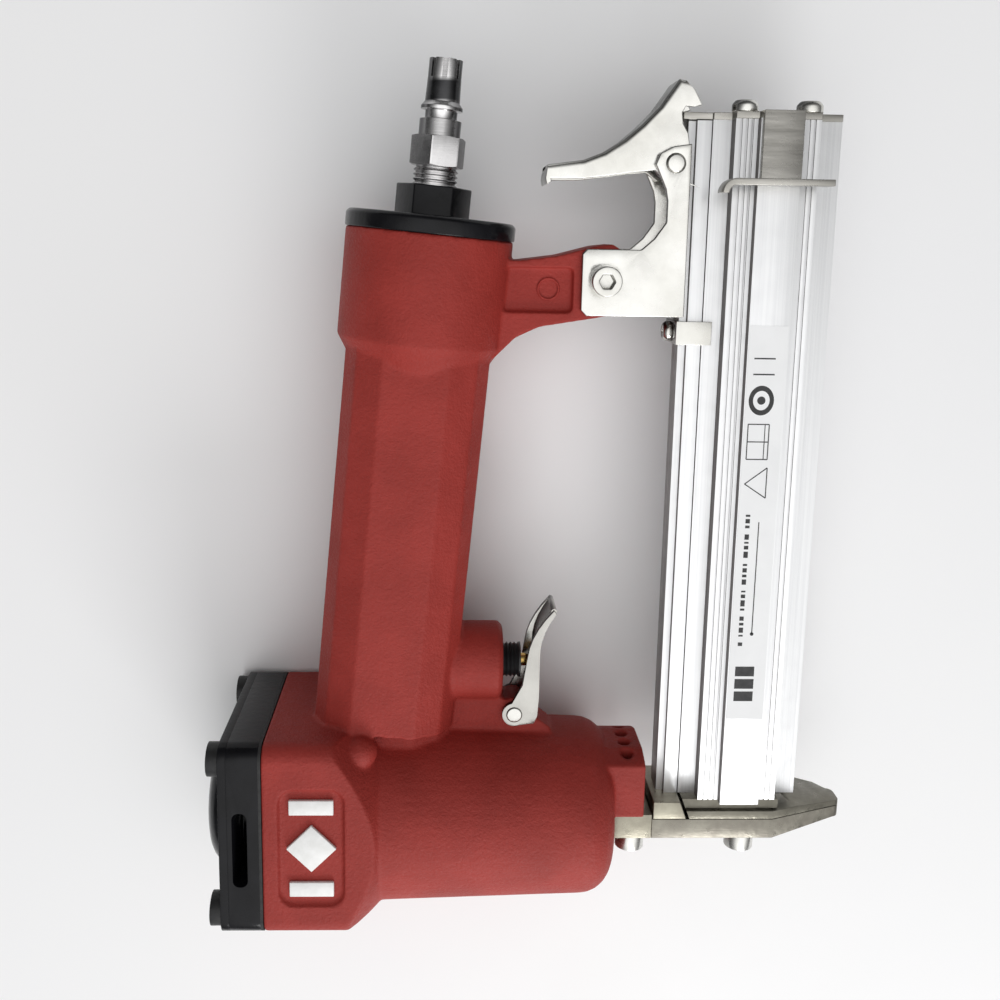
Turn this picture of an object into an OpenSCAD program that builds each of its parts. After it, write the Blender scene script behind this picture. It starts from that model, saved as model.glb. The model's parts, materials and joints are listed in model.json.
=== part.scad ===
// Pneumatic brad nailer, lying on its side.
// +X is the driving direction, +Y points to the air inlet, +Z points up from the bench.
// Lengths are in millimetres and angles in degrees.

/* [Head] */
// Side of the square cap flange, which is also the tool's full thickness
head_side = 60; // [58:1:64]
// Corner radius of the cap flange
head_corner = 5; // [3:0.5:7]
// Depth of the square flange before it blends into the barrel
head_depth = 20; // [18:1:24]
// Drop of the cylinder axis below the middle of the flange
axis_drop = 3; // [2:0.5:4]
// Barrel radius beside the flange
barrel_r_rear = 28.8; // [28:0.1:29.5]
// Barrel radius before the nose
barrel_r_front = 27; // [26.5:0.1:28]
// Distance from the cap joint to the front end of the barrel
barrel_len = 105.5; // [104:0.5:108]
// Rounding of the barrel's front edge
barrel_round = 10; // [8:0.5:12]
// Radius of the chamber that holds the cylinder sleeve
chamber_r = 24; // [23.5:0.1:24.5]

/* [Cap] */
// Thickness of the cylinder cap
cap_t = 9.2; // [8.5:0.1:11]
// Thickness of the exhaust cover's plate
cover_t = 2.5; // [2:0.1:3]
// Height of the exhaust cover's dome
dome_h = 7; // [5:0.5:9]
// Radius of the dome at its foot
dome_r = 21; // [18:0.5:22]
// Thickness of the gasket under the cap
gasket_t = 0.8; // [0.5:0.1:1]
// Distance between neighbouring cap screws
cap_screw_pitch = 48; // [46:0.5:49]
// Length of the exhaust slot in the side of the cap
slot_len = 23.5; // [16:0.5:28]
// Width of the exhaust slot
slot_w = 4.4; // [3:0.1:5]

/* [Handle] */
// Lean of the handle towards the nose
handle_lean = 5; // [4:0.5:6]
// Where the handle axis crosses the middle of the flange, from the cap joint
handle_foot = 31.6; // [30:0.1:33]
// Distance along the handle axis to the end of the casting
handle_len = 177; // [174:1:180]
// Half width of the grip, side to side
grip_half_w = 21; // [20:0.1:22]
// Half thickness of the grip
grip_half_t = 19.5; // [18:0.1:21]
// Half width of the grip's flat panel
grip_panel = 9.5; // [8:0.5:11]
// Radius of the round end of the handle
bulge_r = 24.4; // [24:0.1:25]
// Length of the round end of the handle
bulge_len = 31; // [28:1:34]
// Radius of the air passage in the handle
air_r = 15.5; // [14:0.1:16]

/* [Air inlet] */
// Radius of the inlet cap's disc
inlet_r = 24.7; // [24.5:0.1:25]
// Thickness of the inlet cap's disc
inlet_t = 5; // [4:0.5:6]
// Size of the inlet cap's hexagon across its flats
inlet_hex = 19; // [18:1:20]
// Height of the inlet cap's hexagon
inlet_hex_h = 8.5; // [7:0.5:10]
// Radius of the plug's G1/4 thread
plug_thread_r = 6.5; // [6.4:0.05:6.55]
// Size of the plug's hexagon across its flats
plug_hex = 14; // [13:0.5:14]
// Radius of the plug's collar
plug_collar_r = 6; // [5.8:0.1:6.2]

/* [Trigger] */
// Trigger pin, distance from the cap joint
trigger_x = 74.5; // [74:0.1:75]
// Trigger pin, distance from the middle of the flange
trigger_y = 30.4; // [30:0.1:31]
// Radius of the trigger pin
trigger_pin_r = 2.4; // [2:0.1:2.6]
// Half width of the lug that the trigger turns on
lug_half = 5.6; // [5:0.1:5.7]
// Thickness of the trigger's sheet steel
trigger_t = 1.8; // [1.5:0.1:2]
// Valve axis, distance from the middle of the flange
valve_y = 45.5; // [45:0.1:46]
// Radius of the boss that holds the trigger valve
valve_boss_r = 12; // [11:0.5:12.5]
// Distance from the cap joint to the end of the valve boss
valve_boss_x = 70.7; // [70:0.1:71]
// Outer radius of the valve case
valve_case_r = 5.4; // [5:0.1:5.5]
// Radius of the valve stem
stem_r = 2; // [1.8:0.1:2.2]

/* [Nose] */
// Half width of the steel nose
nose_half = 12; // [11:0.5:13]
// Distance from the cap joint to the tip of the nose
nose_tip_x = 180; // [178:0.5:182]
// Distance from the cap joint to where the nose begins to narrow
nose_taper_x = 156; // [154:0.5:158]
// Half width of the nose at its tip
nose_tip_half = 4; // [3:0.5:5]
// Lower face of the nose, from the middle of the flange
nose_low = -8.7; // [-9.5:0.1:-8]
// Upper face of the nose, from the middle of the flange
nose_high = 0.4; // [0:0.1:1]

/* [Magazine] */
// Left face of the fixed rail, from the cap joint
rail_x = 122.5; // [122:0.1:123]
// Width of the fixed rail's strip
rail_w = 4.2; // [4:0.1:4.4]
// Width of the sliding extrusion
slide_w = 37; // [36:0.5:38]
// Lower end of the magazine, from the middle of the flange
mag_low = 3.5; // [3.4:0.1:4]
// Length of the sliding extrusion
mag_len = 206; // [200:1:208]
// Half thickness of the extrusion's wings
wing_half = 6; // [5.5:0.1:6.5]
// Half thickness at the extrusion's screw ribs
rib_half = 10.5; // [10:0.1:11]
// Half thickness of the extrusion's middle band
band_half = 13.5; // [13:0.1:14]
// Thickness of the end plate
end_t = 2; // [1.5:0.1:2.2]

/* [Latch] */
// Latch pin, distance from the cap joint
latch_x = 116.1; // [115.5:0.1:116.5]
// Latch pin, distance from the middle of the flange
latch_y = 197; // [196.5:0.1:197.5]
// Radius of the latch pin
latch_pin_r = 2.6; // [2.4:0.1:2.8]
// Half gap between the two plates of the latch bracket
bracket_half = 8.5; // [8.3:0.1:8.8]
// Thickness of the bracket's sheet steel
bracket_t = 1.8; // [1.5:0.1:2]
// Bracket screw, distance from the cap joint
bracket_screw_x = 97.1; // [96.5:0.1:97.5]
// Bracket screw, distance from the middle of the flange
bracket_screw_y = 163.9; // [163:0.1:164.5]

/* [Hidden] */
$fn = 72;

// Fits between pieces
slack = 0.1;
run = 0.05;
gap = 0.3;
over = 1;
// Colours
red = [0.62, 0.2, 0.18];
black = [0.07, 0.07, 0.08];
nickel = [0.72, 0.71, 0.68];
warm_nickel = [0.62, 0.58, 0.5];
alloy = [0.8, 0.81, 0.82];
rubber = [0.1, 0.1, 0.1];
brass = [0.75, 0.6, 0.25];
white = [0.93, 0.93, 0.92];

// Head
head_half = head_side / 2;
axis_y = -axis_drop;
blend_x = 34;
chamber_end = 94;
throat_r = 9;
barrel_end_r = 17;
cap_x = -gasket_t - cap_t;
cover_x = cap_x - cover_t;
dome_x = cover_x - dome_h;
screw_half = cap_screw_pitch / 2;
cap_wall = 1.6;
hub_r = 11.5;
slot_in = 1.4;
slot_y = -13.6;
slot_r = 2;
cap_screw_r = 3;
cap_head_r = 5;
cap_head_h = 6;
cap_screw_len = 26;
cap_hole_end = 18;
badge_x = 4.8;
badge_y = -19.9;
badge_w = 19.2;
badge_h = 37;
badge_r = 4.5;
badge_depth = 1.2;

// Small boss where the neck meets the flange
boss_x = 28.1;
boss_y = 24.4;
boss_z = 20;
boss_r = 5;

// Handle stations along its axis
bulge_start = handle_len - bulge_len;
bulge_neck = bulge_start - 8;
mouth_r = 19;
mouth_depth = 14;
grip_start = 28.5;
neck_half_t = 13.5;
neck_air_r = 11;
neck_air_end = 40;
air_start = 12;
hex_top = handle_len + inlet_t + inlet_hex_h;
plug_hex_s = 196;
collar_s = 204.4;
groove_s = 209;
rim_s = 211.8;
crown_s = 220.5;
plug_tip_s = 225.7;
plug_tip_r = 4.8;
plug_body_r = 5;
plug_groove_r = 4.6;
thread_pitch = 1.34;
plug_bore_r = 3.4;
plug_hex_turn = 17;
plug_hole_r = plug_thread_r + slack;

// Nose block of the casting
block_half = 14;
block_x = 115;
block_high = 20;
block_low = -0.8;
block_crown_r = 30;
vent_x = 109.8;
vent_r = 1.9;
vent_depth = 9;
vent_pitch = 6;

// Arm between the handle and the latch bracket
arm_panel_x = 62;
arm_panel_y = 154.6;
arm_panel_w = 26.4;
arm_panel_h = 12.8;
arm_panel_depth = 1.8;
mark_x = 81.4;
mark_y = 161.2;
mark_r = 3.2;

// Magazine
slide_x = rail_x + rail_w + gap;
slide_end_x = slide_x + slide_w;
mag_high = mag_low + mag_len;
rib_1 = [132.3, 138.6];
band = [138.6, 150.6];
rib_2 = [150.6, 156.6];
port_x = [135.4, 153.8];
port_z = 7.6;
port_r = 2;
nail_half = 0.8;
nail_x = [131.7, 161.5];
chamber_x = [140.2, 149];
chamber_half = 9.8;
rod_x = 144.6;
rod_z = 5;
tee_neck = [126.5, 128.4];
tee_head = [128.4, 130.4];
tee_neck_half = 1.6;
tee_head_half = 3.8;
back_x = 120.4;
back_half = 4;
clip_x = 119;
clip_y = 149;
clip_half = 3.4;
clip_t = 1.2;
end_high = mag_high + end_t;

// Nose joints
base_x = 118;
blade_half_t = 0.6;
blade_half_w = 1.2;
channel_half_t = 0.7;
channel_half_w = 1.35;
seam_y = axis_y + channel_half_t;
seam_gap = 0.15;
foot_slant = 2.2;
foot_gap = 0.6;
nose_screw_x = [112, 147];
nose_screw_z = 7;

// Motion that the shapes must leave room for
stroke = 54;
piston_x = 14;
piston_t = 11;
blade_tip_x = nose_tip_x - stroke;
sleeve_r = 18;
sleeve_out = 21;
sleeve_x = 12;
sleeve_bands = [60, 86];
bumper_x = piston_x + piston_t + stroke;

// Facets of a coil: round its wire and for each turn
coil_sides = 6;
coil_steps = 14;

// Place of the whole tool: middle of its box over the origin, lowest side on the bench
plug_end_y = plug_tip_s * cos(handle_lean) + plug_tip_r * sin(handle_lean);
mid_x = (nose_tip_x + dome_x) / 2;
mid_y = (plug_end_y - head_half) / 2;

// Everything below is drawn from the cap joint and the middle of the flange
module tool() {
  translate([-mid_x, -mid_y, head_half]) children();
}

// Turns a shape drawn along Z so that it lies along X, on the line y = at
module on_x(x, at) {
  translate([x, at, 0]) rotate([0, 90, 0]) children();
}

// Turns a shape drawn along Z so that it lies along Y
module on_y(x, y, z) {
  translate([x, y, z]) rotate([-90, 0, 0]) children();
}

// Turns a shape drawn along Z so that it lies along the leaning handle
module on_handle(s) {
  translate([handle_foot, 0, 0]) rotate([0, 0, -handle_lean]) rotate([-90, 0, 0])
    translate([0, 0, s]) children();
}

// A rectangle with round corners, from its lower left corner
module round_rect(w, h, r) {
  translate([r, 0]) square([w - 2 * r, h]);
  translate([0, r]) square([w, h - 2 * r]);
  for (x = [r, w - r], y = [r, h - r]) translate([x, y]) circle(r);
}

// A ring or tube along Z
module tube(r_out, r_in, h) {
  difference() {
    cylinder(r = r_out, h = h);
    translate([0, 0, -over]) cylinder(r = r_in, h = h + 2 * over);
  }
}

// A rubber O-ring round Z
module o_ring(r_mid, r_cord) {
  rotate_extrude() translate([r_mid, 0]) circle(r_cord, $fn = 24);
}

// A square block with round corners, standing along X between two stations
module head_slab(x0, x1) {
  translate([x0, -head_half, head_half]) rotate([0, 90, 0])
    linear_extrude(x1 - x0) round_rect(head_side, head_side, head_corner);
}

// Puts its children at each of the four cap screws
module at_cap_screws(x) {
  for (y = [-screw_half, screw_half], z = [-screw_half, screw_half])
    translate([x, y, z]) rotate([0, 90, 0]) children();
}

// A socket head screw along Z: the head is below 0 and the shank above it
module socket_screw(head_r, head_h, shank_r, len, key) {
  translate([0, 0, -head_h]) difference() {
    cylinder(r = head_r, h = head_h);
    translate([0, 0, -over]) cylinder(d = key / cos(30), h = head_h * 0.6 + over, $fn = 6);
  }
  cylinder(r = shank_r, h = len);
}

// A pan head screw along Z: a low domed head below 0, with a cross recess, and the shank above it
module pan_screw(head_r, head_h, shank_r, len) {
  difference() {
    intersection() {
      translate([0, 0, -head_h]) cylinder(r = head_r, h = head_h);
      sphere(r = norm([head_r, head_h * 0.6]));
    }
    for (a = [0, 90]) rotate([0, 0, a])
      translate([-head_r * 0.5, -0.4, -head_h - over]) cube([head_r, 0.8, head_h * 0.4 + over]);
  }
  cylinder(r = shank_r, h = len);
}

// One round-wire coil along Z, swept along a helix
function coil_ring(r, wire, turns, len, i) =
  let (a = 360 * i / coil_steps, z = wire + (len - 2 * wire) * i / (coil_steps * turns))
  [for (k = [0:coil_sides - 1])
    let (b = 360 * k / coil_sides, d = r + wire * cos(b)) [d * cos(a), d * sin(a), z + wire * sin(b)]];
function coil_faces(rings) = concat(
  [[for (k = [0:coil_sides - 1]) k]],
  [for (i = [0:rings - 2], k = [0:coil_sides - 1])
    let (n = (k + 1) % coil_sides, a = i * coil_sides, b = a + coil_sides) [a + n, a + k, b + k]],
  [for (i = [0:rings - 2], k = [0:coil_sides - 1])
    let (n = (k + 1) % coil_sides, a = i * coil_sides, b = a + coil_sides) [a + n, b + k, b + n]],
  [[for (k = [coil_sides - 1:-1:0]) (rings - 1) * coil_sides + k]]);

module coil(r, wire, turns, len) {
  rings = coil_steps * turns + 1;
  points = [for (i = [0:rings - 1]) each coil_ring(r, wire, turns, len, i)];
  polyhedron(points, coil_faces(rings), convexity = 10);
}

// ---------- Casting ----------

module barrel() {
  r = barrel_round;
  arc = [for (a = [90:-15:0]) [barrel_end_r + r * cos(a), barrel_len - r + r * sin(a)]];
  on_x(0, axis_y) rotate_extrude($fn = 96)
    polygon(concat([[0, 4], [barrel_r_rear, 4], [barrel_r_rear, blend_x]],
                   [for (i = [len(arc) - 1:-1:0]) arc[i]], [[0, barrel_len]]));
}

module flange_blend() {
  intersection() {
    head_slab(0, blend_x);
    on_x(0, axis_y) union() {
      cylinder(r = head_side, h = head_depth);
      translate([0, 0, head_depth - 0.01])
        cylinder(r1 = head_side * 0.72, r2 = barrel_r_rear, h = blend_x - head_depth);
    }
  }
}

module nose_block() {
  translate([barrel_len - barrel_round, 0, 0]) rotate([90, 0, 90])
    linear_extrude(block_x - barrel_len + barrel_round) intersection() {
      translate([block_low, -block_half]) square([block_high, 2 * block_half]);
      translate([block_high - block_crown_r, 0]) circle(block_crown_r, $fn = 180);
    }
}

module grip_section(half_t) {
  side = half_t * 0.42;
  mid = [grip_half_w * 0.82, half_t * 0.76];
  polygon([[grip_panel, half_t], [mid[0], mid[1]], [grip_half_w, side],
           [grip_half_w, -side], [mid[0], -mid[1]], [grip_panel, -half_t],
           [-grip_panel, -half_t], [-mid[0], -mid[1]], [-grip_half_w, -side],
           [-grip_half_w, side], [-mid[0], mid[1]], [-grip_panel, half_t]]);
}

module handle_shell() {
  on_handle(0) {
    translate([0, 0, 2]) linear_extrude(bulge_neck) grip_section(neck_half_t);
    translate([0, 0, grip_start]) linear_extrude(bulge_start - grip_start) grip_section(grip_half_t);
    translate([0, 0, bulge_neck]) cylinder(r1 = grip_half_t, r2 = bulge_r, h = bulge_start - bulge_neck);
    translate([0, 0, bulge_start]) cylinder(r = bulge_r, h = bulge_len);
  }
}

module arm() {
  outline = [[60, 140], [66, 141], [72, 147], [79, 150.3], [95, 153], [103, 154.5], [105, 158],
             [105, 168], [102.5, 172.4], [99.5, 174.2], [94.5, 173.6], [84, 170.8], [73, 169.3], [60, 169]];
  difference() {
    translate([0, 0, -bracket_half]) linear_extrude(2 * bracket_half) polygon(outline);
    for (s = [-1, 1]) translate([0, 0, s * bracket_half]) {
      translate([arm_panel_x, arm_panel_y, -arm_panel_depth])
        linear_extrude(2 * arm_panel_depth) round_rect(arm_panel_w, arm_panel_h, 1.5);
    }
    for (s = [-1, 1]) translate([mark_x, mark_y, s * (bracket_half - arm_panel_depth) - 0.5])
      tube(mark_r, mark_r - 0.7, 1);
    translate([bracket_screw_x, bracket_screw_y, -head_half]) cylinder(r = 2.5 + slack, h = head_side);
  }
}

module trigger_lug() {
  outline = [[48, 18], [88, 18], [86, 25], [79, 30.4], [70.5, 35], [64, 36.5], [48, 36.5]];
  translate([0, 0, -lug_half]) linear_extrude(2 * lug_half) {
    polygon(outline);
    translate([trigger_x, trigger_y]) circle(4.4);
  }
}

module casting_bores() {
  on_x(-over, axis_y) cylinder(r = chamber_r, h = chamber_end + over);
  on_x(chamber_end - over, axis_y) cylinder(r = throat_r, h = barrel_len);
  on_handle(air_start) cylinder(r = neck_air_r, h = handle_len);
  on_handle(neck_air_end) cylinder(r = air_r, h = handle_len);
  on_handle(handle_len - mouth_depth) cylinder(r = mouth_r, h = mouth_depth + over);
  on_x(handle_foot, valve_y) cylinder(r = valve_case_r + run, h = valve_boss_x);
  translate([trigger_x, trigger_y, -head_half]) cylinder(r = trigger_pin_r + run, h = head_side);
  at_cap_screws(-over) cylinder(r = cap_screw_r + slack, h = cap_hole_end + over);
  for (i = [-1.5:1.5]) on_y(vent_x, block_high - vent_depth, i * vent_pitch)
    cylinder(r = vent_r, h = vent_depth + over);
  for (s = [-1, 1]) on_y(nose_screw_x[0], -over, s * nose_screw_z) cylinder(r = 2.5 + slack, h = 14);
  translate([badge_x, badge_y, head_half - badge_depth])
    linear_extrude(over + badge_depth) round_rect(badge_w, badge_h, badge_r);
}

module body_casting() {
  color(red) tool() difference() {
    union() {
      flange_blend();
      barrel();
      nose_block();
      handle_shell();
      arm();
      on_x(handle_foot, valve_y) cylinder(r = valve_boss_r, h = valve_boss_x - handle_foot - 1.5);
      on_x(valve_boss_x - 1.5, valve_y) cylinder(r1 = valve_boss_r, r2 = valve_boss_r - 1.5, h = 1.5);
      trigger_lug();
      for (s = [0, 1]) mirror([0, 0, s]) translate([boss_x, boss_y, boss_z]) sphere(boss_r);
    }
    casting_bores();
  }
}

// A plain emblem: two bars and a diamond, level with the flange's face
module side_badge() {
  bar_w = 13;
  bar_h = 4.6;
  bar_pitch = 26;
  diamond = 10.4;
  cx = badge_x + badge_w / 2;
  cy = badge_y + badge_h / 2;
  color(white) tool() translate([cx, cy, head_half - badge_depth]) linear_extrude(badge_depth) {
    for (s = [-1, 1]) translate([-bar_w / 2, (s * bar_pitch - bar_h) / 2]) square([bar_w, bar_h]);
    rotate(45) square(diamond, center = true);
  }
}

// ---------- Cap ----------

module cylinder_cap() {
  color(black) tool() difference() {
    head_slab(cap_x, -gasket_t);
    on_x(cap_x + cap_wall, axis_y) tube(sleeve_out + 0.5, hub_r, cap_t);
    at_cap_screws(cap_x - over) cylinder(r = cap_screw_r + slack, h = cap_t + 2 * over);
    for (s = [0, 1]) mirror([0, 0, s]) translate([cap_x + slot_in, slot_y, hub_r + 1])
      linear_extrude(head_half) round_rect(slot_w, slot_len, slot_r);
    on_x(cap_x - over, axis_y) cylinder(r = 4, h = cap_t + 2 * over);
  }
}

module exhaust_cover() {
  arc = [for (a = [0:15:90]) [dome_r - 9 + 9 * cos(a), cover_t + (dome_h - 0.6) * sin(a)]];
  color(black) tool() difference() {
    union() {
      translate([-0.5, 0, 0]) head_slab(cover_x + 0.5, cap_x + 0.5);
      translate([cap_x, 0, 0]) rotate([0, -90, 0])
        rotate_extrude($fn = 96) polygon(concat([[0, 0], [dome_r, 0]], arc, [[0, cover_t + dome_h]]));
    }
    on_x(cap_x - 6, 0) cylinder(r1 = 9, r2 = 16, h = 6 + over);
    at_cap_screws(cover_x - over) cylinder(r = cap_head_r + 0.6, h = cover_t + 2 * over);
  }
}

module cap_gasket() {
  color(rubber) tool() difference() {
    head_slab(-gasket_t, 0);
    on_x(-over, axis_y) cylinder(r = chamber_r, h = 2 * over);
    at_cap_screws(-over) cylinder(r = cap_screw_r + slack, h = 2 * over);
  }
}

module cap_screws() {
  color(black) tool() at_cap_screws(cap_x)
    socket_screw(cap_head_r, cap_head_h, cap_screw_r, cap_screw_len, 5);
}

// ---------- Drive ----------

module cylinder_sleeve() {
  color(alloy) tool() on_x(0, axis_y) difference() {
    rotate_extrude($fn = 96) difference() {
      union() {
        translate([sleeve_r, sleeve_x]) square([sleeve_out - sleeve_r, chamber_end - sleeve_x]);
        for (z = sleeve_bands) translate([sleeve_r, z]) square([chamber_r - sleeve_r - slack, 7]);
      }
      for (z = sleeve_bands) translate([chamber_r - 2.2, z + 2.2]) square([4, 2.6]);
    }
    for (a = [30:60:330]) rotate([0, 0, a]) translate([sleeve_r - over, 0, 74])
      rotate([0, 90, 0]) cylinder(r = 1.5, h = 8);
  }
}

module sleeve_seals() {
  color(rubber) tool() for (x = sleeve_bands) on_x(x + 3.5, axis_y) o_ring(chamber_r - 1.1, 1.05);
}

module bumper() {
  room = chamber_end - bumper_x - 2 * gap;
  color(rubber) tool() on_x(bumper_x + gap, axis_y) tube(sleeve_r - slack, 5, room);
}

module piston() {
  color(alloy) tool() on_x(piston_x, axis_y) difference() {
    cylinder(r = sleeve_r - slack, h = piston_t, $fn = 96);
    translate([0, 0, 4]) tube(sleeve_r + over, sleeve_r - 2.4, 2.8);
    translate([0, 0, 3]) linear_extrude(piston_t) square([3.4, 2.4], center = true);
    translate([0, 0, -over]) cylinder(r = 9, h = 2.5);
  }
}

module piston_ring() {
  color(rubber) tool() on_x(piston_x + 5.4, axis_y) o_ring(sleeve_r - 1.22, 1.12);
}

module driver_blade() {
  root_x = piston_x + 3.2;
  color(nickel) tool() translate([root_x, axis_y - blade_half_t, -blade_half_w])
    cube([blade_tip_x - root_x, 2 * blade_half_t, 2 * blade_half_w]);
}

module head_valve() {
  color(black) tool() on_x(0, axis_y) difference() {
    union() {
      translate([0, 0, 6]) cylinder(r = 21.5, h = 4);
      translate([0, 0, -3]) cylinder(r = sleeve_out - 0.1, h = 9);
    }
    translate([0, 0, -3 - over]) cylinder(r = 16.5, h = 9 + over);
    translate([0, 0, -over]) cylinder(r = 3.5, h = 12);
  }
}

module head_valve_seal() {
  color(rubber) tool() on_x(10, axis_y) tube(21.5, 16, 1.6);
}

module head_valve_spring() {
  spring_x = cap_x + 1.8;
  color(nickel) tool() on_x(spring_x, axis_y) coil(13, 0.9, 3, 5.8 - spring_x);
}

// ---------- Air inlet ----------

module inlet_cap() {
  color(black) tool() difference() {
    union() {
      on_handle(handle_len) cylinder(r = inlet_r, h = inlet_t - 1, $fn = 96);
      on_handle(handle_len + inlet_t - 1) cylinder(r1 = inlet_r, r2 = inlet_r - 1, h = 1, $fn = 96);
      on_handle(handle_len + inlet_t) cylinder(d = inlet_hex / cos(30), h = inlet_hex_h, $fn = 6);
      difference() {
        on_handle(handle_len - mouth_depth + 1) cylinder(r = mouth_r - slack, h = mouth_depth);
        on_handle(handle_len - 5) tube(mouth_r + over, mouth_r - 2.2, 2.6);
      }
    }
    on_handle(handle_len - mouth_depth)
      cylinder(r = plug_hole_r, h = mouth_depth + inlet_t + inlet_hex_h + over);
  }
}

module inlet_oring() {
  color(rubber) tool() on_handle(handle_len - 3.7) o_ring(mouth_r - 1.1, 1.05);
}

module air_plug() {
  root_s = handle_len - 2;
  thread = [for (i = [0:3], k = [0, 1])
    [plug_thread_r - 0.75 * k, hex_top + 0.3 + (i + k / 2) * thread_pitch]];
  profile = concat([[plug_bore_r, root_s], [plug_thread_r, root_s]], thread,
                   [[plug_collar_r, plug_hex_s + 0.1], [plug_collar_r, groove_s],
                    [plug_groove_r, groove_s + 0.4], [plug_groove_r, rim_s - 0.3],
                    [plug_collar_r, rim_s], [plug_collar_r, rim_s + 0.9], [plug_body_r, rim_s + 2.2],
                    [plug_body_r - 0.2, crown_s], [plug_tip_r, plug_tip_s], [plug_bore_r, plug_tip_s]]);
  notches = 8;
  hex_h = collar_s - plug_hex_s;
  flat = plug_hex / 2;
  corner = flat / cos(30) + over;
  chamfered = [[0, 0], [flat, 0], [corner, 0.7], [corner, hex_h - 0.7], [flat, hex_h], [0, hex_h]];
  color(nickel) tool() on_handle(0) difference() {
    union() {
      rotate_extrude($fn = 72) polygon(profile);
      translate([0, 0, plug_hex_s]) difference() {
        intersection() {
          rotate([0, 0, plug_hex_turn]) cylinder(d = plug_hex / cos(30), h = hex_h, $fn = 6);
          rotate_extrude($fn = 72) polygon(chamfered);
        }
        translate([0, 0, -over]) cylinder(r = plug_bore_r, h = collar_s);
      }
    }
    for (a = [0:360 / notches:359]) rotate([0, 0, a])
      translate([plug_bore_r + 0.6, -0.7, crown_s]) cube([2, 1.4, plug_tip_s]);
  }
}

// ---------- Trigger ----------

function trigger_out(y) = 82 + 0.028 * pow(max(0, y - 50), 2);
function trigger_wide(y) = 5.4 - 4 * (y - 38) / 27;
trigger_top = 65;

module trigger() {
  outer = [for (y = [36:3:trigger_top - 1]) [trigger_out(y), y]];
  inner = [for (y = [trigger_top - 1:-3:38]) [trigger_out(y) - trigger_wide(y), y]];
  web = [for (y = [trigger_top - 1:-3:36]) [trigger_out(y) - 1.5, y]];
  flange_in = lug_half + 0.4;
  color(nickel) tool() difference() {
    union() {
      for (s = [0, 1]) mirror([0, 0, s]) translate([0, 0, flange_in]) linear_extrude(trigger_t) {
        polygon(concat([[trigger_x, trigger_y - 3.6], [80.6, 27.6], [81.6, 30]], outer, inner,
                       [[trigger_x - 1, trigger_y + 3.2]]));
        translate([trigger_x, trigger_y]) circle(3.7);
      }
      translate([0, 0, -flange_in - 0.5]) linear_extrude(2 * flange_in + 1) {
        polygon(concat([[80.2, 33], [81.8, 33]], outer, web));
        translate([trigger_out(trigger_top - 2) - 0.7, trigger_top - 1.6]) circle(0.9);
      }
    }
    translate([trigger_x, trigger_y, -head_half]) cylinder(r = trigger_pin_r + run, h = head_side);
  }
}

module trigger_pin() {
  half = lug_half + 0.4 + trigger_t + 0.4;
  color(nickel) tool() translate([trigger_x, trigger_y, -half]) cylinder(r = trigger_pin_r, h = 2 * half);
}

module valve_case() {
  case_start = 47;
  case_end = 76.4;
  color(black) tool() on_x(0, valve_y) difference() {
    rotate_extrude() difference() {
      translate([stem_r + run, case_start]) square([valve_case_r - stem_r - run, case_end - case_start]);
      for (x = [71.6:1.2:75.4]) translate([valve_case_r, x]) rotate(45) square(0.9, center = true);
      translate([0, case_start + 3]) square([4, 14]);
    }
  }
}

module valve_stem() {
  stem_end = 79.6;
  color(brass) tool() on_x(44, valve_y) {
    cylinder(r = stem_r, h = stem_end - 44 - stem_r);
    translate([0, 0, stem_end - 44 - stem_r]) sphere(stem_r, $fn = 32);
    translate([0, 0, 18]) cylinder(r = 3.6, h = 1.6);
  }
}

module valve_orings() {
  color(rubber) tool() on_x(45.2, valve_y) tube(stem_r + 1.2, stem_r, 1.4);
}

module valve_spring() {
  color(nickel) tool() on_x(50.2, valve_y) coil(3.1, 0.4, 7, 11.6);
}

// ---------- Nose ----------

// The nose seen from above, from one station to the tip: a straight taper on one side, rounded on the other
module nose_plan(x0) {
  r = 2;
  tip = nose_tip_x - r;
  arc = [for (a = [0:15:90]) [tip + r * sin(a), nose_tip_half - r + r * cos(a)]];
  rounded = [[7, 0.4], [14, 1.8], [19, 4.2]];
  polygon(concat([[x0, nose_half], [nose_taper_x, nose_half]], arc,
                 [for (i = [len(arc) - 1:-1:0]) [arc[i][0], -arc[i][1]]],
                 [for (i = [2:-1:0]) [nose_taper_x + rounded[i][0], rounded[i][1] - nose_half]],
                 [[nose_taper_x, -nose_half], [x0, -nose_half]]));
}

module nose_plate(x0, y0, y1) {
  translate([0, y1, 0]) rotate([90, 0, 0]) linear_extrude(y1 - y0) nose_plan(x0);
}

module blade_channel(x0, x1) {
  translate([x0, axis_y - channel_half_t, -channel_half_w])
    cube([x1 - x0, 2 * channel_half_t, 2 * channel_half_w]);
}

module nose_base() {
  color(warm_nickel) tool() difference() {
    translate([barrel_len, nose_low, -nose_half])
      cube([base_x - barrel_len, block_low - nose_low, 2 * nose_half]);
    blade_channel(barrel_len - over, base_x + over);
    for (s = [-1, 1]) on_y(nose_screw_x[0], nose_low - over, s * nose_screw_z)
      cylinder(r = 2.5 + slack, h = 20);
  }
}

module front_guide_plate() {
  color(warm_nickel) tool() difference() {
    intersection() {
      nose_plate(base_x, nose_low, seam_y);
      linear_extrude(head_side, center = true)
        polygon([[base_x, seam_y], [base_x, nose_low], [nose_taper_x, nose_low],
                 [nose_tip_x + over, nose_low + 3], [nose_tip_x + over, seam_y]]);
    }
    blade_channel(base_x - over, nose_tip_x + over);
    for (s = [-1, 1]) on_y(nose_screw_x[1], nose_low - over, s * nose_screw_z)
      cylinder(r = 2.5 + slack, h = 5);
  }
}

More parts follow.
